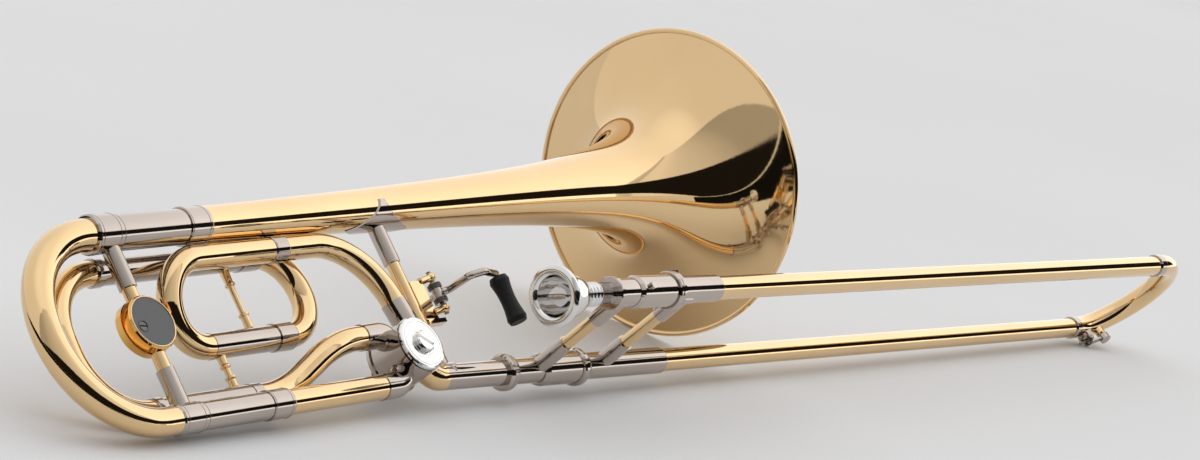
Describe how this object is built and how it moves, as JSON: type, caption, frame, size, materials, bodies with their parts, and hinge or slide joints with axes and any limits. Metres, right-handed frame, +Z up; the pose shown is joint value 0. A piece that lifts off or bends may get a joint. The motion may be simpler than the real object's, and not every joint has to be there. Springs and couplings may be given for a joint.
{
  "type": "trombone",
  "caption": "Tenor trombone with a rotary valve and its wrap of extra tubing, a hand slide that runs full length, two tuning slides, a counterweight and a mouthpiece.",
  "frame": {"origin": "centre of the footprint on the floor the instrument rests on", "axes": "+X along the tubing towards the bell mouth and the end of the hand slide, +Z up from the floor, +Y away from the mouthpiece side"},
  "size_m": [1.187, 0.2958, 0.2199],
  "materials": {
    "lacquer_brass": "clear-lacquered polished yellow brass",
    "nickel_silver": "polished nickel silver, warm grey",
    "silver_plate": "bright silver plate",
    "gold_plate": "polished, deeper orange-gold than the tubing",
    "badge_enamel": "dark grey enamel, left blank",
    "steel": "plain spring and screw steel",
    "black_rubber": "satin black rubber",
    "cork": "natural cork"
  },
  "bodies": {
    "bell_section": {"bell": "lacquer_brass", "bell_rim_wire": "steel", "tuning_sleeves": "nickel_silver", "sleeve_ferrules": "nickel_silver", "valve_feed_tube": "lacquer_brass", "wrap_outlet_tube": "lacquer_brass", "valve_knuckles": "nickel_silver", "gooseneck_elbow": "lacquer_brass", "valve_casing": "nickel_silver", "valve_front_plate": "nickel_silver", "stop_bumpers": "cork", "gooseneck_tube": "nickel_silver", "wrap_left_bow": "lacquer_brass", "wrap_front_sleeve": "nickel_silver", "wrap_right_bow": "lacquer_brass", "f_slide_sleeves": "nickel_silver", "wrap_return_curve": "lacquer_brass", "wrap_posts": "lacquer_brass", "bell_brace_sockets": "nickel_silver", "bell_brace_rod": "lacquer_brass", "lever_bracket": "lacquer_brass", "lever_hinge_pin": "steel"},
    "valve_rotor": {"valve_rotor": "nickel_silver", "stop_arm": "nickel_silver", "stop_arm_screw": "steel"},
    "valve_cap": {"valve_cap": "silver_plate"},
    "thumb_lever": {"thumb_lever": "nickel_silver", "lever_spring": "steel"},
    "push_rod": {"push_rod": "nickel_silver"},
    "thumb_roller": {"thumb_roller": "black_rubber"},
    "main_tuning_slide": {"tuning_bow": "lacquer_brass", "tuning_bow_ferrules": "nickel_silver", "tuning_legs": "nickel_silver", "tuning_brace_sockets": "nickel_silver", "tuning_brace_rod": "lacquer_brass", "counterweight": "gold_plate", "counterweight_badge": "badge_enamel", "counterweight_screw": "steel"},
    "f_tuning_slide": {"f_crook": "lacquer_brass", "f_crook_ferrules": "nickel_silver", "f_slide_legs": "nickel_silver"},
    "coupling_nut": {"coupling_nut": "nickel_silver"},
    "inner_slide": {"slide_tenon": "nickel_silver", "inner_barrels": "nickel_silver", "inner_tubes": "nickel_silver", "leadpipe": "nickel_silver", "inner_brace_sockets": "nickel_silver", "inner_brace_rod": "lacquer_brass"},
    "outer_slide": {"outer_ferrules": "nickel_silver", "outer_tubes": "lacquer_brass", "outer_brace_sockets": "nickel_silver", "outer_brace_rod": "lacquer_brass", "end_bow": "lacquer_brass", "water_key_seat": "nickel_silver", "water_key_nipple": "lacquer_brass"},
    "slide_lock": {"slide_lock_ring": "nickel_silver"},
    "water_key": {"water_key_lever": "nickel_silver", "water_key_cork": "cork", "water_key_spring": "steel"},
    "mouthpiece": {"mouthpiece": "silver_plate"}
  },
  "joints": [
    {"name": "main_tuning_pull", "type": "slide", "parent": "bell_section", "child": "main_tuning_slide", "axis": [-0.9996, 0, -0.0291], "range_m": [0, 0.04]},
    {"name": "f_tuning_pull", "type": "slide", "parent": "bell_section", "child": "f_tuning_slide", "axis": [-0.9996, 0, -0.0291], "range_m": [0, 0.04]},
    {"name": "thumb_lever_press", "type": "hinge", "parent": "bell_section", "child": "thumb_lever", "pos_m": [-0.24645, -0.01209, 0.06077], "axis": [-0.0196, 0.7397, 0.6726], "range_deg": [0, 40], "stiffness_Nm_per_rad": 0.12, "springref_deg": -20.05},
    {"name": "valve_rotor_turn", "type": "hinge", "parent": "bell_section", "child": "valve_rotor", "pos_m": [-0.29812, -0.03639, 0.03173], "axis": [-0.0216, -0.6729, 0.7394], "range_deg": [0, 90]},
    {"name": "push_rod_swing", "type": "hinge", "parent": "thumb_lever", "child": "push_rod", "pos_m": [-0.2375, 0.00353, 0.04385], "axis": [-0.0196, 0.7397, 0.6726], "range_deg": [-40, 0]},
    {"name": "thumb_roller_spin", "type": "hinge", "parent": "thumb_lever", "child": "thumb_roller", "pos_m": [-0.21912, -0.04701, 0.06697], "axis": [-0.0196, 0.7397, 0.6726], "continuous": true},
    {"name": "valve_cap_turn", "type": "hinge", "parent": "bell_section", "child": "valve_cap", "pos_m": [-0.29812, -0.03639, 0.03173], "axis": [-0.0216, -0.6729, 0.7394], "continuous": true},
    {"name": "coupling_nut_turn", "type": "hinge", "parent": "bell_section", "child": "coupling_nut", "pos_m": [-0.21232, -0.05246, 0.01962], "axis": [0.9991, -0.0406, -0.0079], "continuous": true},
    {"name": "slide_section_swivel", "type": "hinge", "parent": "bell_section", "child": "inner_slide", "pos_m": [-0.21232, -0.05246, 0.01962], "axis": [0.9991, -0.0406, -0.0079], "range_deg": [-12, 12]},
    {"name": "hand_slide", "type": "slide", "parent": "inner_slide", "child": "outer_slide", "axis": [0.9991, -0.0406, -0.0079], "range_m": [0, 0.577]},
    {"name": "slide_lock_turn", "type": "hinge", "parent": "inner_slide", "child": "slide_lock", "pos_m": [-0.1396, -0.11156, 0.09157], "axis": [0.9991, -0.0406, -0.0079], "range_deg": [0, 40]},
    {"name": "water_key_press", "type": "hinge", "parent": "outer_slide", "child": "water_key", "pos_m": [0.54558, -0.09463, 0.00673], "axis": [0.4323, 0.3248, -0.8412], "range_deg": [0, 12], "stiffness_Nm_per_rad": 0.05, "springref_deg": -17.19},
    {"name": "mouthpiece_pull", "type": "slide", "parent": "inner_slide", "child": "mouthpiece", "axis": [-0.9991, 0.0406, 0.0079], "range_m": [0, 0.03]}
  ],
  "couplings": [
    {"joint": "valve_rotor_turn", "follows": "thumb_lever_press", "ratio": 2.25},
    {"joint": "push_rod_swing", "follows": "thumb_lever_press", "ratio": -1}
  ]
}
